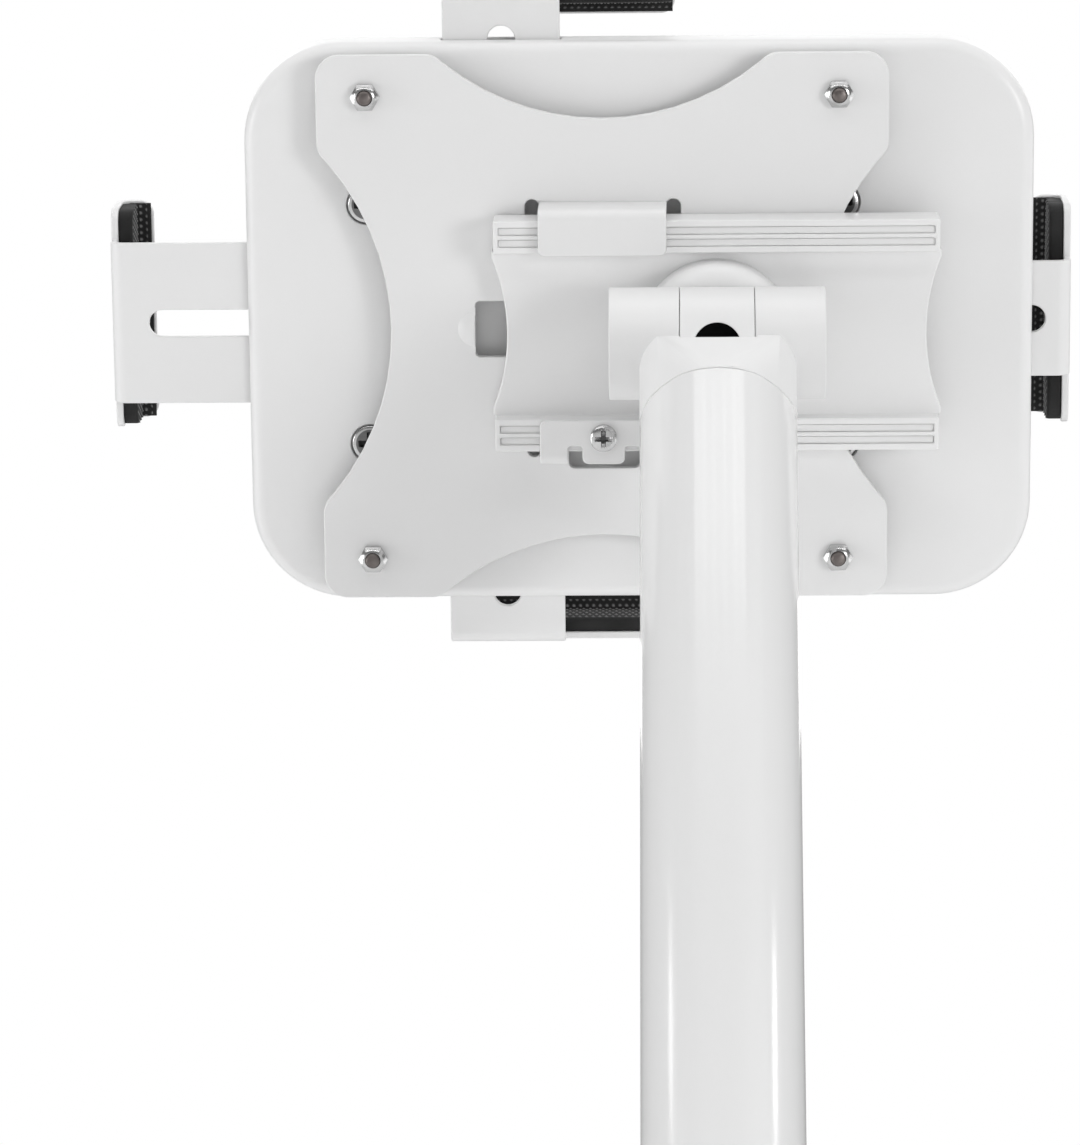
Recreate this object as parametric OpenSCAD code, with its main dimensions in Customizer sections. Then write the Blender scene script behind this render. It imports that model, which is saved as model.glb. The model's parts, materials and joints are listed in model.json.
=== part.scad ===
// Adjustable tablet floor stand: a weighted base, an oval pole, a tilting and swivelling
// rail, and a holder that slides on the rail and grips with four sliding arms.
// Millimetres, +Z up, origin on the floor under the middle of the base.
// The rear of the holder faces -Y and its screen side faces +Y, tipped upwards.

/* [Base] */
// Width of the base plate
base_w = 380; // [300:5:460]
// Depth of the base plate
base_d = 320; // [260:5:400]
// Thickness of the base plate
base_t = 8; // [6:0.5:12]
// Corner radius of the base plate
base_corner_r = 45; // [20:1:80]
// Rounding of the base plate's upper edge
base_edge_r = 3; // [1:0.5:5]
// Radius of a rubber foot
foot_r = 14; // [10:1:18]
// Height of a rubber foot under the plate
foot_h = 4; // [2:0.5:8]
// How much narrower a foot is where it stands
foot_taper = 1; // [0:0.25:3]
// Distance of a foot's middle from the plate's edges
foot_inset = 34; // [24:1:50]

/* [Pole] */
// Width of the oval tube, seen from behind
pole_w = 32; // [28:0.5:36]
// Depth of the oval tube, front to back
pole_d = 56; // [52:0.5:60]
// Radius of the oval's narrow ends
pole_end_r = 10.5; // [9:0.25:12]
// Wall of the tube
pole_wall = 2; // [1.5:0.1:3]
// Width of the foot flange beyond the tube
flange_rim = 26; // [20:1:34]
// Thickness of the foot flange
flange_t = 8; // [5:0.5:12]
// Corner radius of the foot flange
flange_corner_r = 14; // [8:1:20]
// Height of the foot's collar above the flange
collar_h = 34; // [24:1:50]
// Wall of the foot's collar
collar_wall = 5; // [4:0.25:8]
// Shank radius of the foot bolts
foot_bolt_r = 3; // [2.5:0.25:4]
// Height of the foot bolts' heads
foot_bolt_head_h = 3; // [2.5:0.25:5]
// Head radius of the foot bolts
foot_bolt_head_r = 5.5; // [4.5:0.25:7]
// Shank radius of the collar's and the cap's set screws
set_screw_r = 2.5; // [2:0.25:3]

/* [Hinge] */
// Height of the tilt axis above the floor
hinge_height = 1080; // [800:5:1300]
// Distance of the tilt axis in front of the pole's middle
hinge_forward = 22; // [21:0.5:24]
// Tilt of the holder back from upright, as drawn
tilt = 35; // [0:1:80]
// Radius of the hinge barrel
barrel_r = 11.75; // [10:0.25:12]
// Width of the hinge barrel over both ears
barrel_w = 45; // [40:0.5:52]
// Width of the fixed knuckle between the ears
knuckle_w = 15.5; // [13:0.5:18]
// Radius of the tilt bolt's shank
tilt_bolt_r = 3; // [2.5:0.25:4]
// Radius of the friction screw's hole in the knuckle
friction_hole_r = 5; // [4:0.25:5.5]
// Angle of that hole below level
friction_hole_tip = 28; // [20:1:40]
// Depth of the cap's top below the tilt axis
cap_top_drop = 15.7; // [13.5:0.1:18]
// Depth of the tube's upper end below the tilt axis
seam_drop = 27.6; // [24:0.1:32]
// Depth of the cap's flat top, front to back
cap_top_d = 34; // [30:0.5:40]
// Length of the cap's plug in the tube
plug_len = 30; // [20:1:50]
// Radius of the round boss on the yoke
boss_r = 16; // [14:0.25:16.5]
// Distance of the swivel axis below the tilt axis
swivel_drop = 0.8; // [0:0.1:1.5]

/* [Rail] */
// Length of the rails
rail_len = 94; // [80:1:120]
// Height over both rails
rail_h = 49.5; // [49:0.5:56]
// Height of one rail
rail_strip_h = 7; // [6.5:0.25:8.5]
// Thickness of the web between the rails
web_t = 5; // [4.5:0.25:7]
// How far the rails stand out behind the web
rail_proud = 4; // [3:0.25:5]
// How deep the ends of the web are drawn in
web_waist = 3.1; // [1:0.1:6]
// How far the web's corners reach past the ends of the rails
web_over = 0.5; // [0.2:0.1:2]
// Depth of the rails' grooves
groove_depth = 0.5; // [0.3:0.1:1.5]

/* [Adapter plate] */
// Square pitch of the four studs
stud_pitch = 100; // [96:0.5:104]
// Width of the adapter plate
adapter_w = 121; // [114:0.5:130]
// Height of the adapter plate
adapter_h = 117.5; // [112:0.5:124]
// Thickness of the adapter plate and its hook tabs
adapter_t = 2; // [1.5:0.1:2.5]
// Half height of the adapter's waist at top and bottom
adapter_waist_h = 45; // [42:0.5:50]
// Radius of the hollows at top and bottom
adapter_hollow_h_r = 53; // [50:0.5:60]
// Half width of the adapter's waist at the sides
adapter_waist_w = 45.3; // [42:0.1:50]
// Radius of the hollows at the sides
adapter_hollow_w_r = 56; // [52:0.5:64]
// Rounding of the adapter's lobes
adapter_corner_r = 5; // [3:0.5:8]
// Width of the hook tabs
tab_w = 27; // [22:0.5:32]
// Drop of a hook tab behind its rail
tab_drop = 7.8; // [6.5:0.1:8]
// Place of the adapter on the rail, left of the pole
carriage_offset = 24; // [0:0.5:33]
// Corner radius of the hook tabs
tab_corner_r = 1.5; // [0.5:0.25:3]
// Outer end of the window from the adapter's middle
window_end = 27.3; // [24:0.1:30]
// Length of the window
window_len = 16; // [12:0.5:20]
// Height of the window
window_h = 12; // [10:0.25:13]
// Corner radius of the window
window_r = 1; // [0.5:0.1:2]
// Base radius of the pressed stop at the window's outer end
stop_r = 3.75; // [3:0.05:4.5]
// Height of the pressed stop
stop_rise = 1.2; // [0.8:0.05:1.5]
// Shank radius of the studs
stud_r = 1.5; // [1.25:0.05:2]
// Width across flats of the stud nuts
nut_flats = 5.5; // [5:0.1:7]
// Gap between adapter and holder
spacer_len = 3.7; // [2.5:0.1:6]

/* [Holder] */
// Width of the rear cover
cover_w = 168; // [162:1:176]
// Height of the rear cover
cover_h = 121; // [119:1:130]
// Depth of the holder box
cover_depth = 10; // [10:0.25:14]
// Corner radius of the rear cover
cover_corner_r = 21; // [16:0.5:26]
// Rounding of the cover's rear edge
cover_edge_r = 3; // [1.5:0.25:4]
// Wall of the rear cover
cover_wall = 2; // [1.75:0.25:2.5]
// Thickness of the front plate
front_t = 2; // [1.5:0.1:2.5]
// Shift of the cover to the right of the studs' middle
cover_shift = 7.6; // [0:0.1:10]
// Head radius of the cover screws
cover_screw_r = 3.4; // [3:0.1:4]
// Distance of the cover screws from the middle, along the width
cover_screw_x = 50.5; // [48:0.5:53]
// Distance of the cover screws from the middle, along the height
cover_screw_z = 26; // [25:0.5:30]

/* [Arms] */
// Thickness of the arms' steel
arm_t = 1.5; // [1.2:0.1:2]
// Outer radius of the arms' bends
arm_bend_r = 3; // [2.5:0.1:4]
// Width of the slots in the arms
slot_w = 5.8; // [5:0.1:7]
// Depth of the pocket between the front plate and the lips
pocket_t = 9; // [7:0.25:12]
// Reach of the arms' front lips over the screen's edge
lip_len = 8; // [7:0.5:12]
// Thickness of the pads on the arms' walls
pad_t = 3; // [2:0.1:4]
// Thickness of the pads on the arms' lips
pad_lip_t = 1; // [0.6:0.1:1.5]
// Strip width of the left arm
left_strip_w = 35; // [28:0.5:38]
// Strip width of the other arms
strip_w = 25; // [20:0.5:28]
// Wall length of the left and right arms
side_wall_len = 48; // [42:1:60]
// Wall length of the top and bottom arms, from the strip's left edge
post_wall_len = 49.5; // [42:0.5:60]
// Corner radius of the walls towards the rear
wall_corner_r = 3; // [1:0.25:4]
// Place of the top and bottom arms, left of the studs' middle
post_arm_shift = 21.5; // [18:0.5:24]
// Outer face of the left wall beyond the cover's edge
left_out = 29.6; // [28:0.2:44]
// Outer face of the right wall beyond the cover's edge
right_out = 8.4; // [7.4:0.2:22]
// Outer face of the top wall beyond the cover's edge
top_out = 11.5; // [10.5:0.25:24]
// Outer face of the bottom wall beyond the cover's edge
bottom_out = 11.5; // [10.5:0.25:24]
// Outward travel of an arm
arm_travel = 24; // [16:0.5:26]
// How far the left arm's slot shows beyond the cover
left_slot_show = 21.5; // [16:0.5:24]
// How far the other arms' slots show beyond the cover
slot_show = 2.9; // [0:0.1:4]

/* [Hidden] */
$fn = 64;

// Clearances: screws and pins, seats and pockets, sliding faces, and how far cuts run over
run_gap = 0.05;
seat_gap = 0.2;
slide_gap = 0.3;
cut = 1;
sink = 0.5;

// Heights at the foot of the pole
base_z = foot_h;
flange_z = base_z + base_t;
tube_z = flange_z + flange_t;
seam_z = hinge_height - seam_drop;
cap_top_z = hinge_height - cap_top_drop;
bolt_x = pole_w / 2 + flange_rim / 2 + collar_wall / 2;
bolt_y = pole_d / 2 + flange_rim / 2 - collar_wall;

// Depths of the head, in front of the tilt axis with the holder upright
boss_back = 6;
boss_round = 4;
knuckle_gap = 0.3;
floor_t = 4;
yoke_floor = barrel_r + knuckle_gap;
web_back = yoke_floor + floor_t;
web_front = web_back + web_t;
rail_back = web_back - rail_proud;
adapter_back = web_front + slide_gap;
adapter_front = adapter_back + adapter_t;
cover_back = adapter_front + spacer_len;
cover_floor = cover_back + cover_wall;
cover_front = cover_back + cover_depth;
front_back = cover_front - front_t;
layer_gap = (front_back - cover_floor - 2 * arm_t) / 3;
side_layer = cover_floor + layer_gap;
post_layer = side_layer + arm_t + layer_gap;
lip_back = cover_front + pocket_t;
lip_inner = lip_back + pad_lip_t;
lip_front = lip_inner + arm_t;

// Widths in the hinge
ear_gap = 0.1;
ear_in = knuckle_w / 2 + ear_gap;
washer_t = 1.4;
washer_rim = 2.5;
washer_r = barrel_r - washer_rim;
bolt_head_r = 5;
bolt_head_t = 4;
head_sink = 0.5;
hex_r = 2.5;
hex_depth = 2;
tilt_nut_r = 5.3;
tilt_nut_t = 4.5;
bolt_tip = 1;
friction_screw_len = 4;
friction_screw_gap = 1;

// Swivel on the boss
spigot_r = 6;
retainer_rim = 3;
retainer_r = spigot_r + retainer_rim;
retainer_t = 1.9;
retainer_sink = 0.1;
retainer_back = web_front - retainer_t - retainer_sink;
swivel_screw_r = 1.75;
swivel_head_r = 3.4;
swivel_head_t = 1;

// Rails, their grooves and the drawn-in ends of the web
rail_inner = rail_h / 2 - rail_strip_h;
rail_mid = rail_h / 2 - rail_strip_h / 2;
web_len = rail_len + 2 * web_over;
waist_land = 1.5;
waist_half = rail_inner - waist_land;
waist_r = (pow(waist_half, 2) + pow(web_waist, 2)) / (2 * web_waist);
groove_w = 1.5;
groove_pitch = 2.55;
groove_end = 1.1;

// Hook tabs, the lock screw on its tongue, and the pressed stop
tab_back = rail_back - slide_gap - adapter_t;
hook_gap = 0.6;
tab_z = rail_h / 2 + hook_gap;
tab_bend_r = adapter_t + sink;
tab_blank = adapter_front - tab_back + tab_drop - rail_strip_h;
relief_w = 3;
relief_z = tab_z + adapter_t / 2;
lock_z = rail_mid;
lock_head_r = 2.85;
lock_head_t = 2;
lock_cross = [3.4, 0.8];
lock_cross_depth = 1;
tongue_w = 9;
tongue_slot = 3.1;
tongue_root = 1.9;
tongue_short = 0.3;
tongue_corner_r = 1.4;
slot_half = tongue_w / 2 + tongue_slot;
slot_end_r = 0.8;
slot_over = 3;
slot_corner_r = 1.2;
ear_front = tab_back - lock_head_t - sink;
stop_ball = (pow(stop_r, 2) + pow(stop_rise, 2)) / (2 * stop_rise);

// Neck between cap and knuckle, tangent to the barrel in front
neck_lean = 20;
neck_foot = barrel_r * cos(neck_lean) - (seam_drop - barrel_r * sin(neck_lean)) * tan(neck_lean);
cap_step = 0.6;

// Studs, nuts, spacers and the cover's screws
stud_out = 3.4;
stud_head_r = 3;
stud_head_t = 1;
nut_t = 2.4;
spacer_r = 4;
screw_post_wall = 2;
screw_post_r = cover_screw_r + screw_post_wall;
recess_rim = 0.8;
recess_depth = 1.5;
screw_proud = 0.3;
screw_cross = [4, 0.9];
screw_short = 0.2;

// Arms: the cover's edges from the studs' middle, and the small sizes of slots, lips and pads
left_edge = cover_w / 2 - cover_shift;
right_edge = cover_w / 2 + cover_shift;
post_edge = cover_h / 2;
post_inset = 10;
post_gap = 0.1;
post_r = slot_w / 2 - post_gap;
shoulder = 1.5;
lip_round = 3;
lip_run = lip_len - arm_bend_r;
pad_inset = 0.5;
post_wall_shift = (post_wall_len - strip_w) / 2;

// Moves what follows from the upright head, with the tilt axis on X, to its place.
module at_head() {
    translate([0, hinge_forward, hinge_height]) rotate([tilt, 0, 0]) children();
}

// The swivel axis runs forwards, a little below the tilt axis.
module at_swivel() {
    at_head() translate([0, 0, -swivel_drop]) children();
}

// The holder's own middle is the middle of the four studs.
module at_holder() {
    at_swivel() translate([-carriage_offset, 0, 0]) children();
}

// Extrudes an outline in X and Z into a plate from y to y + t.
module plate(y, t) {
    translate([0, y + t, 0]) rotate([90, 0, 0]) linear_extrude(t) children();
}

// A round bar along +Y from y to y + t.
module bar(r, y, t) {
    translate([0, y, 0]) rotate([-90, 0, 0]) cylinder(r = r, h = t);
}

module rounded_rect(w, h, r) {
    square([w - 2 * r, h], center = true);
    square([w, h - 2 * r], center = true);
    for (x = [-1, 1], y = [-1, 1]) translate([x * (w / 2 - r), y * (h / 2 - r)]) circle(r);
}

// Rectangle from x = 0 to x = run whose two corners at x = 0 are round.
module tongue(run, w, r) {
    translate([r, -w / 2]) square([run - r, w]);
    translate([0, -w / 2 + r]) square([r, w - 2 * r]);
    for (y = [-1, 1]) translate([r, y * (w / 2 - r)]) circle(r);
}

// Oval of four tangent arcs: two narrow ends and two wide sides.
module oval(w, d, end_r) {
    end_y = d / 2 - end_r;
    side_r = (pow(w / 2, 2) + pow(end_y, 2) - pow(end_r, 2)) / (w - 2 * end_r);
    middle_x = side_r - w / 2;
    join_y = side_r * end_y / (side_r - end_r);
    for (y = [-end_y, end_y]) translate([0, y]) circle(end_r);
    intersection() {
        translate([-middle_x, 0]) circle(side_r, $fn = 180);
        translate([middle_x, 0]) circle(side_r, $fn = 180);
        square([2 * w, 2 * join_y], center = true);
    }
}

module tube_outline(grow) {
    oval(pole_w + 2 * grow, pole_d + 2 * grow, pole_end_r + grow);
}

// Slab with round corners and a rounded upper edge: one profile taken round the outline.
module pillow(w, h, r, t, edge) {
    module profile() {
        square([r - edge, t]);
        square([r, t - edge]);
        translate([r - edge, t - edge]) circle(edge);
    }
    hull() for (x = [-1, 1], y = [-1, 1])
        translate([x * (w / 2 - r), y * (h / 2 - r), 0])
            rotate_extrude($fn = 64) intersection() {
                profile();
                square([r, t]);
            }
}

module at_corners(x, y) {
    for (i = [-1, 1], j = [-1, 1]) translate([i * x, j * y, 0]) children();
}

// Two screws one above the other in the front of the tube, pointing forwards.
module at_cap_screws(y) {
    for (k = [1, 3]) translate([0, y, seam_z - k * plug_len / 4]) rotate([-90, 0, 0]) children();
}

// Two screws in the front and the rear of the foot's collar, pointing outwards.
module at_collar_screws(y) {
    for (a = [0, 180]) rotate(a) translate([0, y, tube_z + collar_h / 2]) rotate([-90, 0, 0]) children();
}

module at_studs() {
    for (x = [-1, 1], z = [-1, 1])
        translate([x * stud_pitch / 2, 0, z * stud_pitch / 2]) children();
}

module at_cover_screws() {
    for (x = [-1, 1], z = [-1, 1])
        translate([x * cover_screw_x, 0, z * cover_screw_z]) children();
}

// Base and pole
module base_plate() {
    color("gainsboro") difference() {
        translate([0, 0, base_z]) pillow(base_w, base_d, base_corner_r, base_t, base_edge_r);
        at_corners(bolt_x, bolt_y) translate([0, 0, base_z - cut])
            cylinder(r = foot_bolt_r + run_gap, h = base_t + 2 * cut);
    }
}

module base_feet() {
    color("dimgray") at_corners(base_w / 2 - foot_inset, base_d / 2 - foot_inset)
        cylinder(r1 = foot_r - foot_taper, r2 = foot_r, h = foot_h);
}

module pole_foot() {
    color("white") difference() {
        union() {
            translate([0, 0, flange_z]) linear_extrude(flange_t)
                rounded_rect(pole_w + 2 * (flange_rim + collar_wall), pole_d + 2 * flange_rim,
                    flange_corner_r);
            translate([0, 0, tube_z]) linear_extrude(collar_h) tube_outline(collar_wall);
        }
        translate([0, 0, tube_z]) linear_extrude(collar_h + cut) tube_outline(run_gap);
        at_corners(bolt_x, bolt_y) translate([0, 0, flange_z - cut])
            cylinder(r = foot_bolt_r + run_gap, h = flange_t + 2 * cut);
        at_collar_screws(pole_d / 2 - cut)
            cylinder(r = set_screw_r + run_gap, h = collar_wall + 2 * cut);
    }
}

module foot_bolts() {
    color("silver") at_corners(bolt_x, bolt_y) {
        translate([0, 0, base_z]) cylinder(r = foot_bolt_r, h = base_t + flange_t + sink);
        translate([0, 0, tube_z]) difference() {
            cylinder(r = foot_bolt_head_r, h = foot_bolt_head_h);
            translate([0, 0, foot_bolt_head_h - hex_depth])
                cylinder(r = hex_r, h = foot_bolt_head_h, $fn = 6);
        }
    }
}

module foot_set_screws() {
    color("silver") at_collar_screws(pole_d / 2 + run_gap) difference() {
        cylinder(r = set_screw_r, h = collar_wall - head_sink);
        translate([0, 0, collar_wall - hex_depth]) cylinder(r = set_screw_r / 2, h = collar_wall, $fn = 6);
    }
}

module pole_tube() {
    color("white") difference() {
        translate([0, 0, tube_z]) linear_extrude(seam_z - tube_z) tube_outline(0);
        translate([0, 0, tube_z - cut]) linear_extrude(seam_z - tube_z + 2 * cut)
            tube_outline(-pole_wall);
        at_cap_screws(pole_d / 2 - pole_wall - cut)
            cylinder(r = set_screw_r + run_gap, h = pole_wall + 2 * cut);
    }
}

// Hinge
module pole_cap() {
    color("white") difference() {
        union() {
            translate([0, 0, seam_z]) hull() {
                linear_extrude(sink) tube_outline(0);
                linear_extrude(cap_top_z - seam_z) intersection() {
                    tube_outline(0);
                    square([2 * pole_w, cap_top_d], center = true);
                }
            }
            translate([0, 0, seam_z - plug_len]) linear_extrude(plug_len + sink / 2)
                tube_outline(-pole_wall - run_gap);
            translate([-knuckle_w / 2, hinge_forward, hinge_height]) rotate([90, 0, 90])
                linear_extrude(knuckle_w) polygon([
                    [-barrel_r, 0], [-barrel_r, -seam_drop], [neck_foot, -seam_drop],
                    [barrel_r * cos(neck_lean), -barrel_r * sin(neck_lean)], [0, 0]]);
            translate([-knuckle_w / 2, hinge_forward, hinge_height]) rotate([0, 90, 0])
                cylinder(r = barrel_r, h = knuckle_w);
        }
        translate([-knuckle_w / 2, -pole_d, cap_top_z - cap_step])
            cube([knuckle_w, pole_d + hinge_forward - barrel_r, cut + cap_step]);
        translate([-knuckle_w, hinge_forward, hinge_height]) rotate([0, 90, 0])
            cylinder(r = tilt_bolt_r + run_gap, h = 2 * knuckle_w);
        translate([0, hinge_forward, hinge_height]) rotate([friction_hole_tip, 0, 0])
            bar(friction_hole_r, -2 * barrel_r, 2 * barrel_r - tilt_bolt_r - friction_screw_gap);
        at_cap_screws(pole_d / 4) cylinder(r = set_screw_r + run_gap, h = pole_d);
    }
}

module cap_screws() {
    color("silver") at_cap_screws(pole_d / 4) difference() {
        cylinder(r = set_screw_r, h = pole_d / 4 - head_sink);
        translate([0, 0, pole_d / 4 - hex_depth]) cylinder(r = set_screw_r / 2, h = pole_d / 4, $fn = 6);
    }
}

module friction_screw() {
    head = -tilt_bolt_r - friction_screw_gap - friction_screw_len;
    color("dimgray") translate([0, hinge_forward, hinge_height]) rotate([friction_hole_tip, 0, 0])
        difference() {
            bar(friction_hole_r - run_gap, head, friction_screw_len);
            translate([0, head - cut, 0]) rotate([-90, 0, 0])
                cylinder(r = hex_r, h = hex_depth + cut, $fn = 6);
        }
}

module tilt_yoke() {
    color("white") at_head() difference() {
        union() {
            translate([0, 0, -swivel_drop]) {
                rounded_boss();
                bar(spigot_r, web_back - cut, retainer_back - web_back + cut);
            }
            difference() {
                translate([-barrel_w / 2, 0, 0]) rotate([0, 90, 0]) cylinder(r = barrel_r, h = barrel_w);
                translate([-barrel_w, ear_front, -barrel_r])
                    cube([2 * barrel_w, barrel_r, 2 * barrel_r]);
            }
        }
        translate([-ear_in, 0, 0]) rotate([0, 90, 0]) cylinder(r = yoke_floor, h = 2 * ear_in);
        translate([-ear_in, -2 * barrel_r, -2 * boss_r])
            cube([2 * ear_in, 2 * barrel_r + yoke_floor, 2 * boss_r]);
        translate([-barrel_w, 0, 0]) rotate([0, 90, 0])
            cylinder(r = tilt_bolt_r + run_gap, h = 2 * barrel_w);
        translate([barrel_w / 2 - bolt_head_t - head_sink, 0, 0]) rotate([0, 90, 0])
            cylinder(r = bolt_head_r + seat_gap, h = barrel_w);
        translate([-barrel_w / 2 + tilt_nut_t + head_sink, 0, 0]) rotate([0, -90, 0])
            cylinder(r = tilt_nut_r + seat_gap, h = barrel_w);
        for (a = [0, 180]) rotate([0, 0, a]) translate([ear_in - run_gap, 0, 0]) rotate([0, 90, 0])
            cylinder(r = washer_r + seat_gap, h = washer_t);
        translate([0, 0, -swivel_drop])
            bar(swivel_screw_r + run_gap, yoke_floor - cut, web_front - yoke_floor + 2 * cut);
    }
}

// Round boss behind the web, with a rounded rear edge.
module rounded_boss() {
    boss_len = web_back - boss_back;
    translate([0, web_back, 0]) rotate([90, 0, 0]) rotate_extrude() {
        square([boss_r - boss_round, boss_len]);
        square([boss_r, boss_len - boss_round]);
        translate([boss_r - boss_round, boss_len - boss_round]) circle(boss_round);
    }
}

module tilt_bolt() {
    color("silver") at_head() difference() {
        union() {
            translate([-barrel_w / 2 + bolt_tip, 0, 0]) rotate([0, 90, 0])
                cylinder(r = tilt_bolt_r, h = barrel_w - bolt_head_t - bolt_tip);
            translate([barrel_w / 2 - bolt_head_t - head_sink, 0, 0]) rotate([0, 90, 0])
                cylinder(r = bolt_head_r, h = bolt_head_t);
        }
        translate([barrel_w / 2 - head_sink - hex_depth, 0, 0]) rotate([0, 90, 0])
            cylinder(r = hex_r, h = bolt_head_t, $fn = 6);
    }
}

module tilt_nut() {
    color("silver") at_head() difference() {
        translate([-barrel_w / 2 + head_sink, 0, 0]) rotate([0, 90, 0])
            cylinder(r = tilt_nut_r, h = tilt_nut_t, $fn = 6);
        translate([-barrel_w / 2, 0, 0]) rotate([0, 90, 0])
            cylinder(r = tilt_bolt_r + run_gap, h = 2 * tilt_nut_t);
    }
}

module friction_washers() {
    color("dimgray") at_head() for (a = [0, 180])
        rotate([0, 0, a]) translate([ear_in - run_gap, 0, 0]) rotate([0, 90, 0]) difference() {
            cylinder(r = washer_r, h = washer_t - run_gap);
            translate([0, 0, -cut]) cylinder(r = tilt_bolt_r + run_gap, h = washer_t + 2 * cut);
        }
}

module swivel_retainer() {
    color("silver") at_swivel() difference() {
        bar(retainer_r, retainer_back, retainer_t);
        bar(swivel_screw_r + run_gap, retainer_back - cut, retainer_t + 2 * cut);
        bar(swivel_head_r + run_gap, retainer_back + retainer_t - swivel_head_t, retainer_t);
    }
}

module swivel_screw() {
    color("silver") at_swivel() difference() {
        union() {
            bar(swivel_screw_r, yoke_floor, retainer_back + retainer_t - yoke_floor);
            bar(swivel_head_r, retainer_back + retainer_t - swivel_head_t, swivel_head_t);
        }
        translate([0, retainer_back + retainer_t - swivel_head_t / 2, 0]) rotate([-90, 0, 0])
            cylinder(r = swivel_screw_r, h = swivel_head_t, $fn = 6);
    }
}

// Rail
module rail_plate() {
    color("gainsboro") at_swivel() difference() {
        union() {
            plate(web_back, web_t) difference() {
                union() {
                    square([rail_len, rail_h], center = true);
                    square([web_len, 2 * rail_inner], center = true);
                }
                for (x = [-1, 1]) translate([x * (web_len / 2 + waist_r - web_waist), 0])
                    circle(waist_r, $fn = 120);
            }
            for (z = [-rail_mid, rail_mid])
                translate([-rail_len / 2, rail_back, z - rail_strip_h / 2])
                    cube([rail_len, rail_proud + sink, rail_strip_h]);
        }
        for (z = [-rail_mid, rail_mid], k = [-1, 1])
            translate([groove_end - rail_len / 2, rail_back - cut, z + (k * groove_pitch - groove_w) / 2])
                cube([rail_len - 2 * groove_end, groove_depth + cut, groove_w]);
        bar(spigot_r + run_gap, web_back - cut, web_t + 2 * cut);
        bar(retainer_r + seat_gap, retainer_back - retainer_sink, web_t);
    }
}

// Adapter plate that slides on the rails
module adapter_plate() {
    color("white") at_holder() {
        difference() {
            union() {
                plate(adapter_back, adapter_t) adapter_outline();
                stop_dome(stop_ball);
            }
            stop_dome(stop_ball - adapter_t);
            at_studs() bar(stud_r + run_gap, adapter_back - cut, adapter_t + 2 * cut);
        }
        for (s = [-1, 1]) hook_tab(s);
    }
}

// Four lobes round two pairs of hollows, with a window, the blanks of the hook tabs and the end of
// the tongue's slot cut out.
module adapter_outline() {
    difference() {
        offset(r = adapter_corner_r) offset(delta = -adapter_corner_r) difference() {
            square([adapter_w, adapter_h], center = true);
            for (s = [-1, 1]) {
                translate([0, s * (adapter_waist_h + adapter_hollow_h_r)]) circle(adapter_hollow_h_r);
                translate([s * (adapter_waist_w + adapter_hollow_w_r), 0]) circle(adapter_hollow_w_r);
            }
        }
        for (s = [-1, 1]) {
            translate([-tab_w / 2, s * (tab_z - tab_blank / 2) - tab_blank / 2])
                square([tab_w, tab_blank]);
            for (x = [-1, 1]) translate([x * (tab_w + relief_w) / 2, s * relief_z]) {
                circle(relief_w / 2);
                translate([-relief_w / 2, s > 0 ? -relief_w : 0]) square(relief_w);
            }
        }
        translate([0, -tab_z - adapter_t - slot_over]) rotate(90)
            tongue(adapter_t + slot_over + cut, 2 * slot_half, slot_corner_r);
        translate([window_len / 2 - window_end, 0]) rounded_rect(window_len, window_h, window_r);
    }
}

// Half of a ball behind the plate at the window's outer end: the stop that meets the web's end.
module stop_dome(r) {
    intersection() {
        translate([-window_end, adapter_back + stop_ball - stop_rise, 0]) sphere(r);
        translate([-window_end - stop_ball, adapter_back - stop_ball, -stop_ball])
            cube([stop_ball, stop_ball + adapter_t, 2 * stop_ball]);
    }
}

// Hook tab bent back over a rail: a shelf beyond the rail, then a flange behind it. The lower
// one is slotted through its bend round a tongue that carries the lock screw.
module hook_tab(s) {
    outer = tab_z + adapter_t;
    middle = outer - tab_bend_r;
    tongue_end = outer - tongue_short;
    mirror([0, 0, s < 0 ? 1 : 0]) difference() {
        union() {
            difference() {
                translate([-tab_w / 2, 0, 0]) rotate([90, 0, 90]) linear_extrude(tab_w) {
                    translate([tab_back + tab_bend_r, tab_z])
                        square([adapter_front - tab_back - tab_bend_r, adapter_t]);
                    translate([tab_back + tab_bend_r, middle]) intersection() {
                        difference() {
                            circle(tab_bend_r);
                            circle(tab_bend_r - adapter_t);
                        }
                        translate([-tab_bend_r, 0]) square(tab_bend_r);
                    }
                }
                if (s < 0) translate([-slot_half, tab_back - cut, middle])
                    cube([2 * slot_half, adapter_front - tab_back + 2 * cut, tab_bend_r + cut]);
            }
            plate(tab_back, adapter_t) {
                translate([0, tab_z - tab_drop]) rotate(90)
                    tongue(middle - tab_z + tab_drop, tab_w, tab_corner_r);
                if (s < 0) translate([0, tongue_end]) rotate(-90)
                    tongue(tongue_end - lock_z, tongue_w, tongue_corner_r);
            }
        }
        if (s < 0) {
            translate([0, 0, lock_z]) bar(stud_r + run_gap, tab_back - cut, adapter_t + 2 * cut);
            for (x = [-1, 1]) plate(tab_back - cut, adapter_t + 2 * cut)
                translate([x * (tongue_w + tongue_slot) / 2, lock_z + tongue_root]) rotate(90)
                    tongue(middle - lock_z - tongue_root + cut, tongue_slot, slot_end_r);
        }
    }
}

// Cross recess cut along +Y, from arms' length and width.
module cross(size, depth) {
    for (a = [0, 90]) rotate([0, a, 0])
        translate([-size[0] / 2, 0, -size[1] / 2]) cube([size[0], depth, size[1]]);
}

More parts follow.
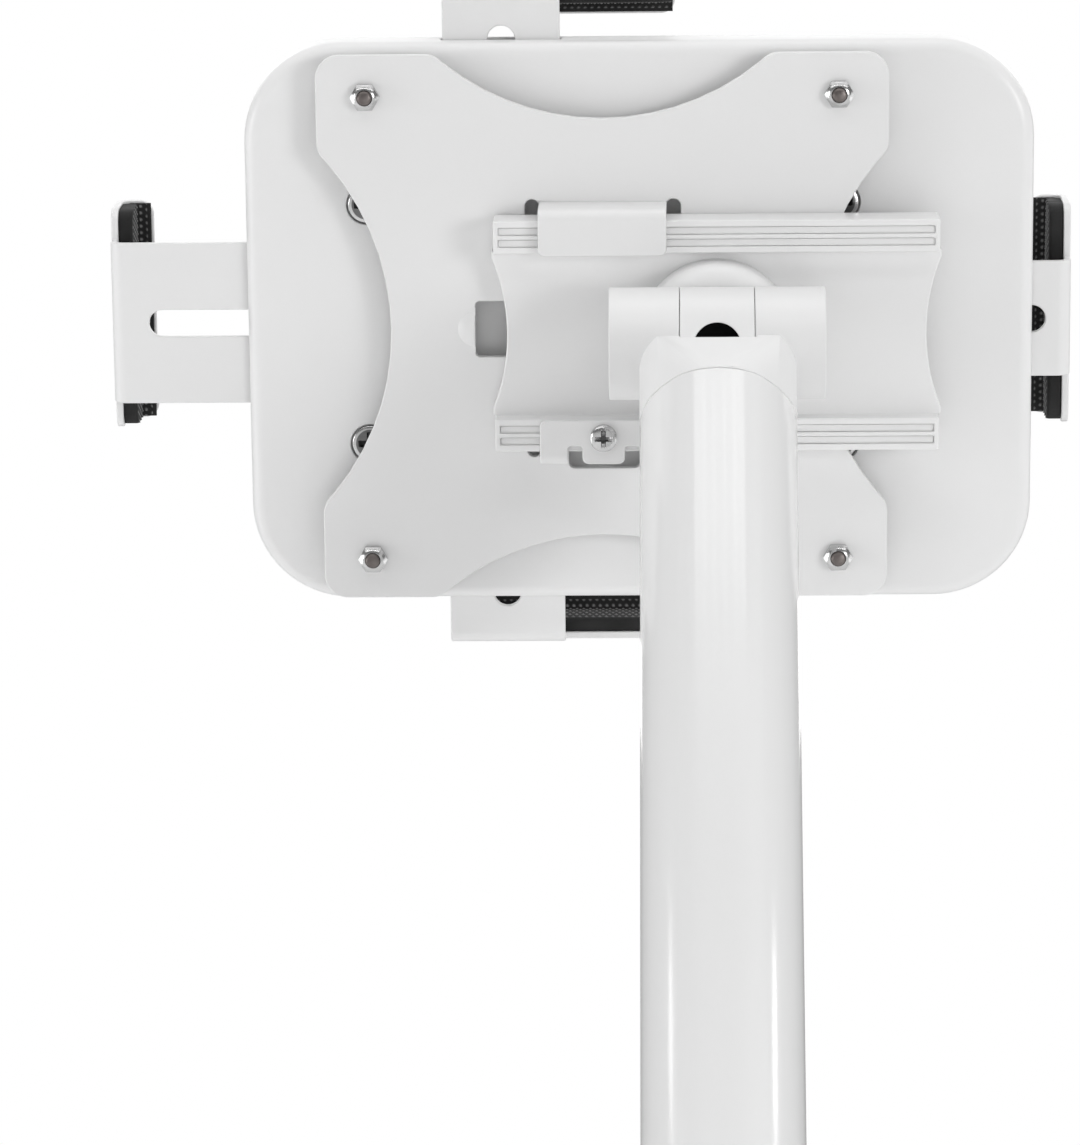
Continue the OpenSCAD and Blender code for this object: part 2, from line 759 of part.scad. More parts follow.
module lock_screw() {
    color("silver") at_holder() translate([0, 0, -lock_z]) difference() {
        union() {
            bar(stud_r, tab_back - lock_head_t / 2, lock_head_t / 2 + adapter_t);
            bar(lock_head_r, tab_back - lock_head_t, lock_head_t);
        }
        translate([0, tab_back - lock_head_t - cut, 0]) cross(lock_cross, lock_cross_depth + cut);
    }
}

module studs() {
    color("dimgray") at_holder() at_studs() {
        bar(stud_r, adapter_back - stud_out, cover_floor - adapter_back + stud_out + sink);
        bar(stud_head_r, cover_floor, stud_head_t);
    }
}

module stud_nuts() {
    color("silver") at_holder() at_studs() difference() {
        translate([0, adapter_back - nut_t, 0]) rotate([-90, 0, 0])
            cylinder(r = nut_flats / sqrt(3), h = nut_t, $fn = 6);
        bar(stud_r + run_gap, adapter_back - nut_t - cut, nut_t + 2 * cut);
    }
}

module stud_spacers() {
    color("white") at_holder() at_studs() difference() {
        bar(spacer_r, adapter_front, spacer_len);
        bar(stud_r + run_gap, adapter_front - cut, spacer_len + 2 * cut);
    }
}

// Holder box
module holder_rear_cover() {
    color("gainsboro") at_holder() difference() {
        union() {
            difference() {
                translate([cover_shift, cover_front, 0]) rotate([90, 0, 0])
                    pillow(cover_w, cover_h, cover_corner_r, cover_depth, cover_edge_r);
                translate([cover_shift, 0, 0]) plate(cover_floor, cover_depth)
                    rounded_rect(cover_w - 2 * cover_wall, cover_h - 2 * cover_wall,
                        cover_corner_r - cover_wall);
            }
            at_cover_screws() bar(screw_post_r, cover_floor, front_back - cover_floor);
        }
        at_studs() bar(stud_r + run_gap, cover_back - cut, cover_wall + 2 * cut);
        at_cover_screws() {
            bar(cover_screw_r + recess_rim, cover_back - cut, recess_depth + cut);
            bar(stud_r + run_gap, cover_back, cover_depth);
        }
        side_window(180, left_strip_w, 0, side_layer);
        side_window(0, strip_w, 0, side_layer);
        side_window(-90, strip_w, -post_arm_shift, post_layer);
        side_window(90, strip_w, -post_arm_shift, post_layer);
    }
}

// Opening in the box's wall for an arm's strip, open to the front plate.
module side_window(angle, w, shift, layer) {
    across = abs(angle) == 90;
    reach = (across ? cover_h : cover_w) / 2 + (across ? 0 : cover_shift * (angle == 0 ? 1 : -1));
    translate([shift, 0, 0]) rotate([0, angle, 0])
        translate([reach - 2 * cover_wall, layer - slide_gap, -w / 2 - slide_gap])
            cube([4 * cover_wall, front_back - layer + slide_gap, w + 2 * slide_gap]);
}

module holder_front_plate() {
    color("gainsboro") at_holder() difference() {
        translate([cover_shift, 0, 0]) plate(front_back, front_t)
            rounded_rect(cover_w - 2 * cover_wall - seat_gap, cover_h - 2 * cover_wall - seat_gap,
                cover_corner_r - cover_wall - seat_gap / 2);
        at_cover_screws() bar(stud_r + run_gap, front_back - cut, front_t + 2 * cut);
    }
}

module cover_screws() {
    color("silver") at_holder() at_cover_screws() difference() {
        union() {
            bar(cover_screw_r, cover_back - screw_proud, recess_depth + screw_proud);
            bar(stud_r, cover_back + sink, cover_depth - sink - screw_short);
        }
        translate([0, cover_back - screw_proud - cut, 0]) cross(screw_cross, 2 * cut);
    }
}

module arm_guide_posts() {
    color("silver") at_holder() {
        for (x = [post_inset - left_edge, right_edge - post_inset])
            translate([x, 0, 0]) bar(post_r, cover_floor, front_back - cover_floor);
        for (z = [-1, 1]) translate([-post_arm_shift, 0, z * (post_edge - post_inset)])
            bar(post_r, cover_floor, front_back - cover_floor);
    }
}

// Arms. Each is drawn with its wall towards +X and turned to its side of the holder.
module at_arm(angle, shift) {
    at_holder() translate([shift, 0, 0]) rotate([0, angle, 0]) children();
}

// Quarter ring of bent steel about a centre, in the quadrant of +X and side * Y.
module bend(x, y, side) {
    translate([x, y]) intersection() {
        difference() {
            circle(arm_bend_r);
            circle(arm_bend_r - arm_t);
        }
        translate([0, side < 0 ? -arm_bend_r : 0]) square(arm_bend_r);
    }
}

// Strip with a slot, bent into a wall round the pocket's edge and a lip over its front. The
// wall's middle lies wall_shift from the strip's.
module arm(out, edge, show, w, wall_len, wall_shift, layer) {
    reach = edge + out;
    bend_x = reach - arm_bend_r;
    tip = edge + show - slot_w / 2;
    inner = edge - post_inset - arm_travel - slide_gap;
    wall_back = layer + arm_bend_r;
    wall_front = lip_front - arm_bend_r;
    plate(layer, arm_t) difference() {
        translate([inner - slot_w, -w / 2]) square([bend_x - inner + slot_w, w]);
        translate([inner, -slot_w / 2]) square([tip - inner, slot_w]);
        for (x = [inner, tip]) translate([x, 0]) circle(slot_w / 2);
    }
    translate([0, 0, -w / 2]) linear_extrude(w) bend(bend_x, wall_back, -1);
    translate([reach - arm_t, 0, 0]) rotate([90, 0, 90]) linear_extrude(arm_t) {
        translate([wall_back, -w / 2]) square([shoulder + wall_corner_r, w]);
        translate([wall_back + shoulder, wall_shift])
            tongue(wall_front - wall_back - shoulder, wall_len, wall_corner_r);
    }
    translate([0, 0, wall_shift - wall_len / 2]) linear_extrude(wall_len) bend(bend_x, wall_front, 1);
    plate(lip_inner, arm_t) translate([bend_x - lip_run, wall_shift]) tongue(lip_run, wall_len, lip_round);
}

// Pad that lines the wall and the lip, with its corner cut clear of the bend and its rear
// corners round like the wall's.
module arm_pad(out, edge, wall_len, wall_shift, layer) {
    wall = edge + out - arm_t;
    corner = arm_bend_r - arm_t + seat_gap;
    back = layer + arm_bend_r + shoulder + pad_inset;
    pad_len = wall_len - 2 * pad_inset;
    lip_end = edge + out - lip_len + pad_inset;
    translate([0, 0, wall_shift]) intersection() {
        translate([0, 0, -pad_len / 2]) linear_extrude(pad_len) polygon([
            [wall, back], [wall, lip_inner - corner], [wall - corner, lip_inner], [lip_end, lip_inner],
            [lip_end, lip_back], [wall - pad_t, lip_back], [wall - pad_t, back]]);
        translate([wall - lip_len, 0, 0]) rotate([90, 0, 90]) linear_extrude(2 * lip_len)
            translate([back, 0]) tongue(lip_inner - back, pad_len, wall_corner_r);
    }
}

module left_arm() {
    color("white") at_arm(180, 0)
        arm(left_out, left_edge, left_slot_show, left_strip_w, side_wall_len, 0, side_layer);
}

module right_arm() {
    color("white") at_arm(0, 0)
        arm(right_out, right_edge, slot_show, strip_w, side_wall_len, 0, side_layer);
}

module top_arm() {
    color("white") at_arm(-90, -post_arm_shift)
        arm(top_out, post_edge, slot_show, strip_w, post_wall_len, -post_wall_shift, post_layer);
}

module bottom_arm() {
    color("white") at_arm(90, -post_arm_shift)
        arm(bottom_out, post_edge, slot_show, strip_w, post_wall_len, post_wall_shift, post_layer);
}

module left_arm_pad() {
    color("dimgray") at_arm(180, 0) arm_pad(left_out, left_edge, side_wall_len, 0, side_layer);
}

module right_arm_pad() {
    color("dimgray") at_arm(0, 0) arm_pad(right_out, right_edge, side_wall_len, 0, side_layer);
}

module top_arm_pad() {
    color("dimgray") at_arm(-90, -post_arm_shift)
        arm_pad(top_out, post_edge, post_wall_len, -post_wall_shift, post_layer);
}

module bottom_arm_pad() {
    color("dimgray") at_arm(90, -post_arm_shift)
        arm_pad(bottom_out, post_edge, post_wall_len, post_wall_shift, post_layer);
}

base_plate();
base_feet();
pole_foot();
foot_bolts();
foot_set_screws();
pole_tube();
pole_cap();
cap_screws();
friction_screw();
tilt_yoke();
tilt_bolt();
tilt_nut();
friction_washers();
swivel_retainer();
swivel_screw();
rail_plate();
adapter_plate();
lock_screw();
studs();
stud_nuts();
stud_spacers();
holder_rear_cover();
holder_front_plate();
cover_screws();
arm_guide_posts();
left_arm();
right_arm();
top_arm();
bottom_arm();
left_arm_pad();
right_arm_pad();
top_arm_pad();
bottom_arm_pad();
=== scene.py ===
"""Looks of the adjustable floor stand: white paint, plated fasteners, foam liners and a studio.

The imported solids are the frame. Sheet metal, castings and the pole are merged copies of their
solids with softly rounded edges. Nuts, studs, screw heads and foam liners are surfaces worked out
here on grids. Lengths are metres. Head coordinates are x to the right, y in front of the tilt axis
and z up the holder, as on the upright head.
"""
import json
import math

import bmesh
import bpy
import numpy as np
from mathutils import Matrix, Vector


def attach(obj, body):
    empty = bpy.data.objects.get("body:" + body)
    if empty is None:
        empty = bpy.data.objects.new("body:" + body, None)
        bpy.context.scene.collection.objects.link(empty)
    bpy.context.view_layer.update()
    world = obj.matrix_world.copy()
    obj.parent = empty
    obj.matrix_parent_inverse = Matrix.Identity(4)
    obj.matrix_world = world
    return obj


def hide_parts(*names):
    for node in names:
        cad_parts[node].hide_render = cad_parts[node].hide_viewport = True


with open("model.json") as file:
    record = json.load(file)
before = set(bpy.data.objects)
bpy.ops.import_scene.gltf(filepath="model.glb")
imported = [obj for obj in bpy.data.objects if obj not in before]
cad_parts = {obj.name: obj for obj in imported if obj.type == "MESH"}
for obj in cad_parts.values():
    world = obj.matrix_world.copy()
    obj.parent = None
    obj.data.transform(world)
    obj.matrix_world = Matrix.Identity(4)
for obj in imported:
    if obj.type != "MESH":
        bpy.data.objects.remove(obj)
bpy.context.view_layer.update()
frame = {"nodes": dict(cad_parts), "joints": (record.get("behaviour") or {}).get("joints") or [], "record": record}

MM = 0.001
nodes = frame["nodes"]
joints = {joint["name"]: joint for joint in frame["joints"]}
slot_of = {part["node"]: part["material_slot"] for part in frame["record"]["subparts"]}
bodies = frame["record"]["behaviour"]["bodies"]
body_of = {node: body for body, members in bodies.items() for node in members}

# The head's own axes, from the tilt and swivel joints
HINGE = np.array(joints["swivel"]["pos_m"])
RIGHT = np.array(joints["tilt"]["axis"], float)
FRONT = np.array(joints["swivel"]["axis"], float)
HEAD = np.stack([RIGHT, FRONT, np.cross(RIGHT, FRONT)])


def from_head(points):
    """Head coordinates turned by the head's axes and moved to the tilt axis."""
    return points @ HEAD + HINGE


def head_box(node):
    """Lowest and highest corner of a solid in head coordinates."""
    corners = np.array([vertex.co for vertex in nodes[node].data.vertices])
    local = (corners - HINGE) @ HEAD.T
    return local.min(0), local.max(0)


# Wires of a finish

MIX_SHARE, MIX_FIRST, MIX_SECOND = 0, 6, 7
MIX_COLOUR = 2


class Wire:
    """One output socket in a node tree. Arithmetic on wires adds Math nodes."""

    def __init__(self, tree, socket=None):
        self.tree = tree
        self.socket = socket

    def add(self, kind, settings=(), sockets=(), output=0):
        """Adds a node of a kind, makes its settings, fills its sockets, and gives one output."""
        node = self.tree.nodes.new(kind)
        for name, value in dict(settings).items():
            setattr(node, name, value)
        for name, value in dict(sockets).items():
            if isinstance(value, Wire):
                self.tree.links.new(value.socket, node.inputs[name])
            else:
                node.inputs[name].default_value = value
        return Wire(self.tree, node.outputs[output])

    def maths(self, operation, first, second):
        """A Math node of an operation on two wires or numbers."""
        return self.add("ShaderNodeMath", {"operation": operation}, {0: first, 1: second})

    def __add__(self, other):
        return self.maths("ADD", self, other)

    def __radd__(self, other):
        return self.maths("ADD", other, self)

    def __sub__(self, other):
        return self.maths("SUBTRACT", self, other)

    def __rsub__(self, other):
        return self.maths("SUBTRACT", other, self)

    def __mul__(self, other):
        return self.maths("MULTIPLY", self, other)

    def __rmul__(self, other):
        return self.maths("MULTIPLY", other, self)

    def noise(self, scale, detail=2.0):
        """Noise from 0 to 1 at this place, with scale in features per metre."""
        sockets = {"Vector": self, "Scale": scale, "Detail": detail}
        return self.add("ShaderNodeTexNoise", {}, sockets)

    def stretched(self, factors):
        """This place with each axis multiplied by a factor."""
        return self.add("ShaderNodeVectorMath", {"operation": "MULTIPLY"}, {0: self, 1: factors})

    def mask(self):
        """The mesh's own mask, from 0 to 1."""
        return self.add("ShaderNodeAttribute", {"attribute_name": "mask"}, {}, "Fac")

    def between(self, first, second):
        """The colour this share of the way from one colour to another."""
        sockets = {MIX_SHARE: self, MIX_FIRST: first, MIX_SECOND: second}
        return self.add("ShaderNodeMix", {"data_type": "RGBA"}, sockets, MIX_COLOUR)

    def bump(self, distance, strength=1.0):
        """A normal from this height, whose full range is a distance."""
        sockets = {"Height": self, "Distance": distance, "Strength": strength}
        return self.add("ShaderNodeBump", {}, sockets)


def new_finish(name):
    """An empty material, its shader node and the wire of its object coordinates."""
    material = bpy.data.materials.new(name)
    material.use_nodes = True
    tree = material.node_tree
    shader = tree.nodes["Principled BSDF"]
    place = Wire(tree).add("ShaderNodeTexCoord", {}, {}, "Object")
    return material, shader, place


def feed(shader, **wires):
    """Links wires or sets constants on the shader's sockets, whose names are in words_like_this."""
    for name, value in wires.items():
        socket = shader.inputs[name.replace("_", " ").title()]
        if isinstance(value, Wire):
            value.tree.links.new(value.socket, socket)
        else:
            socket.default_value = value


def grey(value):
    """An opaque grey."""
    return (value, value, value, 1.0)


# Finishes

PAINT_CLOUDS = 14.0
PAINT_SPECKS = 2600.0
PAINT_DARK = 0.972
PAINT_PALE = 1.02
FINE_PEEL = 4.0


def paint(name, tone, rough, peel, pitch, grain=(1.0, 1.0, 1.0)):
    """White paint: a faint cloud of tone, satin gloss that varies a little, and orange peel.

    The tone goes from a dark to a pale share of itself. Peel is the height of the peel and pitch
    its size. Grain stretches the peel along a direction, as on a drawn tube or an extrusion.
    """
    material, shader, place = new_finish(name)
    cloud = place.noise(PAINT_CLOUDS)
    speck = place.noise(PAINT_SPECKS, detail=1.0)
    texture = place.stretched(grain)
    skin = texture.noise(1.0 / pitch, detail=1.0)
    fine = texture.noise(FINE_PEEL / pitch, detail=1.0)
    shade = cloud * 0.7 + speck * 0.3
    feed(
        shader,
        base_color=shade.between(grey(tone * PAINT_DARK), grey(tone * PAINT_PALE)),
        roughness=cloud * 0.08 + skin * 0.06 + (rough - 0.07),
        normal=(skin * 0.75 + fine * 0.25).bump(peel),
    )
    return material


def plated(name, tone, rough):
    """Bright plating: thin turning marks and a faintly clouded polish, dark where the mask is 1."""
    material, shader, place = new_finish(name)
    cloud = place.noise(900.0)
    marks = place.stretched((1.0, 0.2, 1.0)).noise(9000.0, detail=3.0)
    # The mask paints shade into screw recesses and skirts, and gives the black of blackened heads
    dark = place.mask()
    feed(
        shader,
        metallic=1.0,
        base_color=(dark * 0.92 + cloud * 0.08).between(grey(tone), grey(0.05)),
        roughness=marks * 0.14 + cloud * 0.08 + (rough - 0.1),
        normal=marks.bump(4e-6, strength=0.6),
    )
    return material


def plain_steel():
    """Bare steel with a warm grey film, darker in patches."""
    material, shader, place = new_finish("plain_steel")
    film = place.noise(700.0, detail=4.0)
    marks = place.noise(6000.0)
    feed(
        shader,
        metallic=1.0,
        base_color=film.between((0.12, 0.105, 0.10, 1.0), (0.25, 0.225, 0.215, 1.0)),
        roughness=film * 0.2 + 0.34,
        normal=marks.bump(6e-6, strength=0.7),
    )
    return material


def black_oxide():
    """Blackened steel, nearly without colour, with a dull sheen."""
    material, shader, place = new_finish("black_oxide")
    film = place.noise(500.0, detail=3.0)
    feed(
        shader,
        metallic=1.0,
        base_color=film.between(grey(0.003), grey(0.009)),
        roughness=film * 0.15 + 0.45,
        normal=place.noise(5000.0).bump(8e-6, strength=0.6),
    )
    return material


def black_foam():
    """Closed-cell black foam: matt skin, tiny pores, painted highlight on its dot tops."""
    material, shader, place = new_finish("black_foam")
    pores = place.noise(5200.0, detail=3.0)
    worn = place.noise(120.0)
    # Painted highlight on the dot tops, with a little random wear
    pale = place.mask() * 0.8 + worn * 0.1
    feed(
        shader,
        base_color=pale.between(grey(0.004), grey(0.3)),
        roughness=pores * 0.2 + 0.55,
        normal=pores.bump(3e-5, strength=0.7),
    )
    shader.inputs["Specular IOR Level"].default_value = 0.2
    return material


def black_rubber():
    """Moulded rubber: dull, with a fine spark-eroded grain."""
    material, shader, place = new_finish("black_rubber")
    grain = place.noise(2400.0, detail=3.0)
    feed(
        shader,
        base_color=place.noise(60.0).between(grey(0.018), grey(0.032)),
        roughness=grain * 0.15 + 0.6,
        normal=grain.bump(4e-5, strength=0.8),
    )
    return material


ALONG_X = (0.04, 1.0, 1.0)
ALONG_Z = (1.0, 1.0, 0.02)
finishes = {
    "white_steel": paint("powder_coat", tone=0.79, rough=0.36, peel=1.2e-5, pitch=0.0016),
    "white_pole": paint("pole_paint", tone=0.80, rough=0.15, peel=3e-6, pitch=0.004, grain=ALONG_Z),
    "white_casting": paint("casting_paint", tone=0.80, rough=0.34, peel=1.4e-5, pitch=0.0013),
    "white_rail": paint("rail_paint", tone=0.82, rough=0.32, peel=1e-5, pitch=0.0012, grain=ALONG_X),
    "white_cover": paint("cover_paint", tone=0.81, rough=0.33, peel=1e-5, pitch=0.0018),
    "black_rubber": black_rubber(),
    "black_screw": black_oxide(),
    "bright_screw": plated("bright_plate", tone=0.6, rough=0.2),
    "plain_steel": plain_steel(),
}
foam = black_foam()


# Meshes

def finished(name, mesh, material, like, *replaced):
    """An object of a mesh that rides with the solid it is like and stands for the replaced ones."""
    mesh.materials.clear()
    mesh.materials.append(material)
    piece = bpy.data.objects.new(name, mesh)
    bpy.context.scene.collection.objects.link(piece)
    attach(piece, body_of[like])
    if replaced:
        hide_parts(*replaced)
    return piece


def sheet_of_quads(rows, columns, endless):
    """Corner numbers of the quads of a stack of rings. If endless, its last ring meets the first."""
    index = np.arange(rows * columns).reshape(rows, columns)
    index = np.concatenate([index, index[:, :1]], axis=1)
    if endless:
        index = np.concatenate([index, index[:1]], axis=0)
    quads = np.stack([index[:-1, :-1], index[:-1, 1:], index[1:, 1:], index[1:, :-1]], axis=-1)
    return quads.reshape(-1, 4)


def grid_mesh(name, grids, sharp, values=None, endless=False):
    """One mesh of several grids of points, each a stack of rings, endless or filled at its ends.

    Edges that turn by more than sharp degrees stay crisp. Values, one per point, become the mask.
    """
    points, faces, start = [], [], 0
    for grid in grids:
        rows, columns = grid.shape[:2]
        faces += (sheet_of_quads(rows, columns, endless) + start).tolist()
        if not endless:
            faces.append(list(range(start + columns - 1, start - 1, -1)))
            faces.append(list(range(start + (rows - 1) * columns, start + rows * columns)))
        points.append(grid.reshape(-1, 3))
        start += rows * columns
    mesh = bpy.data.meshes.new(name)
    mesh.from_pydata(np.concatenate(points).tolist(), [], faces)
    if values is not None:
        mask = mesh.attributes.new("mask", "FLOAT", "POINT")
        mask.data.foreach_set("value", np.concatenate([value.ravel() for value in values]))
    work = bmesh.new()
    work.from_mesh(mesh)
    bmesh.ops.recalc_face_normals(work, faces=work.faces)
    work.to_mesh(mesh)
    work.free()
    mesh.shade_smooth()
    mesh.set_sharp_from_angle(angle=math.radians(sharp))
    return mesh


def turned(radii, heights, centre):
    """Rings about the head's y axis: radii, and heights towards the rear, from a centre."""
    columns = radii.shape[1]
    angle = np.linspace(0.0, 2 * np.pi, columns, endpoint=False)
    heights = np.broadcast_to(heights, radii.shape)
    rings = np.stack([radii * np.cos(angle), -heights, radii * np.sin(angle)], axis=-1)
    return from_head(rings + np.asarray(centre))


# Soft-edged copies of the solids

CREASE = math.radians(28.0)
HOLLOW = math.radians(40.0)
NARROW = math.radians(20.0)
MERGE = 0.002 * MM


def narrow_corner(vertex, edges):
    """Whether two of a vertex's sharp edges run out of it almost side by side."""
    ways = [(edge.other_vert(vertex).co - vertex.co).normalized() for edge in edges]
    return any(a.angle(b) < NARROW for i, a in enumerate(ways) for b in ways[:i])


def rounded(node, radius):
    """A merged copy of a solid whose sharp edges are rounded.

    Those at narrow corners, those that run out into a face and shallow hollow ones stay as they are.
    """
    mesh = nodes[node].data.copy()
    mesh.name = node + "_dressed"
    if "custom_normal" in mesh.attributes:
        mesh.attributes.remove(mesh.attributes["custom_normal"])
    work = bmesh.new()
    work.from_mesh(mesh)
    bmesh.ops.remove_doubles(work, verts=work.verts, dist=MERGE)
    weight = work.edges.layers.float.new("bevel_weight_edge")
    for face in work.faces:
        face.smooth = True
    sharp = {edge for edge in work.edges if edge.calc_face_angle(0.0) > CREASE}
    kept = {edge for edge in sharp if not -HOLLOW < edge.calc_face_angle_signed(0.0) < 0}
    for vertex in work.verts:
        here = [edge for edge in vertex.link_edges if edge in sharp]
        if len(here) == 1 or narrow_corner(vertex, here):
            kept.difference_update(here)
    for edge in sharp:
        edge.smooth = False
        edge[weight] = float(edge in kept)
    work.to_mesh(mesh)
    work.free()
    piece = finished(mesh.name, mesh, finishes[slot_of[node]], node, node)
    edge = piece.modifiers.new("edge", "BEVEL")
    edge.width = radius
    edge.segments = 2
    edge.limit_method = "WEIGHT"
    edge.use_clamp_overlap = False
    edge.loop_slide = False
    edge.harden_normals = True
    return piece


# Edge radii in millimetres
EDGE_RADII = {
    "base_plate": 0.4, "pole_foot": 0.6, "pole_tube": 0.3, "pole_cap": 0.25, "tilt_yoke": 0.25,
    "rail_plate": 0.35, "adapter_plate": 0.3, "holder_rear_cover": 0.3, "holder_front_plate": 0.4,
    "left_arm": 0.3, "right_arm": 0.3, "top_arm": 0.3, "bottom_arm": 0.3, "base_feet": 0.5,
    "foot_bolts": 0.3, "tilt_bolt": 0.2, "tilt_nut": 0.2,
}
for node, radius in EDGE_RADII.items():
    rounded(node, radius * MM)


# Fasteners

RING = np.linspace(0.0, 2 * np.pi, 96, endpoint=False)
NUT_FLATS = 5.5 * MM
NUT_FACE = 0.93
NUT_EASE = 0.15 * MM
NUT_CROWN = math.radians(15.0)
NUT_BACK = 0.3
BORE_GAP = 0.05 * MM
STUD_R = 1.5 * MM
STUD_HEAD_R = 3.0 * MM
STUD_HEAD_T = 1.0 * MM
STUD_TIP = 0.12 * MM
SHANK_END = 2.7 * MM
THREAD_START = 2.6 * MM
THREAD_END = 0.28 * MM
THREAD_PITCH = 0.5 * MM
THREAD_DEPTH = 0.26 * MM
THREAD_ROWS = 44
HEAD_COLUMNS = 160
HEAD_ROWS = 54
HEAD_EYE = 0.02
DOME_SHARE = 0.97
GROOVE_FLANK = 0.1 * MM
SCREW_TIP = 0.3 * MM
WORN_RIM = 0.82
FACE_DARK = 0.85
# Below this height a screw head is painted dark as shade in the gap of its recess
SKIRT_SHADE_HEIGHT = 0.5 * MM


def four_middles(node, half_x, half_z):
    """Middles of four equal pieces at the corners of a node's box, in x and z."""
    low, high = head_box(node)
    across = (low[0] + half_x, high[0] - half_x)
    upright = (low[2] + half_z, high[2] - half_z)
    return [(x, z) for x in across for z in upright]


def hex_nuts():
    """Four nuts: a hexagon with a bore and a crowned face, its outer corners cut back by a cone.

    The hexagon's radius is half its flats over the cosine of the angle from the middle of a flat.
    The crown's slope grows evenly from 15 degrees at the bore to 45 degrees at a circle just inside
    the flats, and the cone goes on from there at 45 degrees. A flatter cone cuts the corners of the
    other face.
    """
    low, high = head_box("stud_nuts")
    thick = high[1] - low[1]
    flat = NUT_FLATS / 2
    hexagon = flat / np.cos(RING % (np.pi / 3) - np.pi / 6)
    face = np.full_like(RING, NUT_FACE * flat)
    bore = np.full_like(RING, STUD_R + BORE_GAP)
    out = np.linspace(0.0, 1.0, 8)[:, None]
    reach = face - bore - NUT_EASE
    crown = thick - reach * (math.tan(NUT_CROWN) * (out - out**2 / 2) + out**2 / 2)
    corner = hexagon - face
    radii = np.concatenate([[bore], bore + NUT_EASE + out * reach, [hexagon, hexagon, face, bore]])
    heights = np.concatenate([
        [0 * RING + thick - NUT_EASE],
        crown,
        [crown[-1] - corner, NUT_BACK * corner, 0 * RING, 0 * RING],
    ])
    places = four_middles("stud_nuts", NUT_FLATS / math.sqrt(3), flat)
    grids = [turned(radii, heights, (x, high[1], z)) for x, z in places]
    mesh = grid_mesh("hex_nuts", grids, sharp=24.0, endless=True)
    finished("hex_nuts", mesh, finishes["bright_screw"], "stud_nuts", "stud_nuts")


def threaded_studs():
    """Four studs: a flat head, a plain shank, and a thread whose radius falls with a triangle wave.

    The wave's place is the height in pitches less the angle in turns, so its ridges are helices.
    """
    low, high = head_box("studs")
    length = high[1] - low[1]
    rise = np.linspace(length - THREAD_START, length - THREAD_END, THREAD_ROWS)[:, None]
    wave = np.abs(2 * ((rise / THREAD_PITCH - RING / (2 * np.pi)) % 1.0) - 1)
    thread = STUD_R - THREAD_DEPTH * wave
    core = STUD_R - THREAD_DEPTH
    plain = np.array([STUD_HEAD_R, STUD_HEAD_R, core, core])[:, None] * np.ones_like(RING)
    tip = np.full((1, RING.size), core - STUD_TIP)
    radii = np.concatenate([plain, thread, tip])
    lower = [0.0, STUD_HEAD_T, STUD_HEAD_T, length - SHANK_END]
    levels = np.concatenate([lower, rise[:, 0], [length]])[:, None]
    places = four_middles("studs", STUD_HEAD_R, STUD_HEAD_R)
    grids = [turned(radii, levels, (x, high[1], z)) for x, z in places]
    mesh = grid_mesh("threaded_studs", grids, sharp=50.0)
    finished("threaded_studs", mesh, finishes["plain_steel"], "studs", "studs")


def cross_head(head_r, head_t, side_t, shank, reach, width, depth):
    """Radii, heights and recess shares of a pan head on a shank.

    The top is an ellipse of the radius over the side, cut off just before its edge. Two crossing
    grooves are cut into it, whose depth falls with the square of the distance along the groove and
    steeply at its flanks.
    """
    angle = np.linspace(0.0, 2 * np.pi, HEAD_COLUMNS, endpoint=False)
    radius = np.linspace(HEAD_EYE, 1.0, HEAD_ROWS)[:, None] * head_r * np.ones_like(angle)
    dome = side_t + (head_t - side_t) * np.sqrt(1 - DOME_SHARE * (radius / head_r) ** 2)
    u, v = radius * np.cos(angle), radius * np.sin(angle)

    def groove(run, off):
        """How deep the groove along one direction is, as a share of its depth."""
        flank = np.clip((width / 2 - np.abs(off)) / GROOVE_FLANK + 0.5, 0, 1)
        return flank * np.clip(1 - (run / reach) ** 2, 0, 1)

    # The recess share also paints shade into the cross recess
    recess = np.maximum(groove(u, v), groove(v, u))
    under = np.array([
        [head_r, 0.0],
        [STUD_R, 0.0],
        [STUD_R, SCREW_TIP - shank],
        [STUD_R - SCREW_TIP, -shank],
    ])
    radii = np.concatenate([radius, under[:, :1] * np.ones_like(angle)])
    heights = np.concatenate([dome - depth * recess, under[:, 1:] * np.ones_like(angle)])
    shares = np.concatenate([recess, np.zeros((len(under), angle.size))])
    return radii, heights, shares


def lock_screw():
    """The pan-head screw in the tongue of the lower hook tab."""
    low, high = head_box("lock_screw")
    head_r, head_t = 2.85 * MM, 2.0 * MM
    shank = high[1] - low[1] - head_t
    radii, heights, shares = cross_head(
        head_r, head_t, side_t=0.9 * MM, shank=shank,
        reach=1.95 * MM, width=0.9 * MM, depth=1.3 * MM)
    middle = (low + high) / 2
    grid = turned(radii, heights, (middle[0], low[1] + head_t, middle[2]))
    # The recess shares paint shade into the cross recess
    mesh = grid_mesh("pan_head_screw", [grid], sharp=40.0, values=[shares])
    finished("pan_head_screw", mesh, finishes["bright_screw"], "lock_screw", "lock_screw")


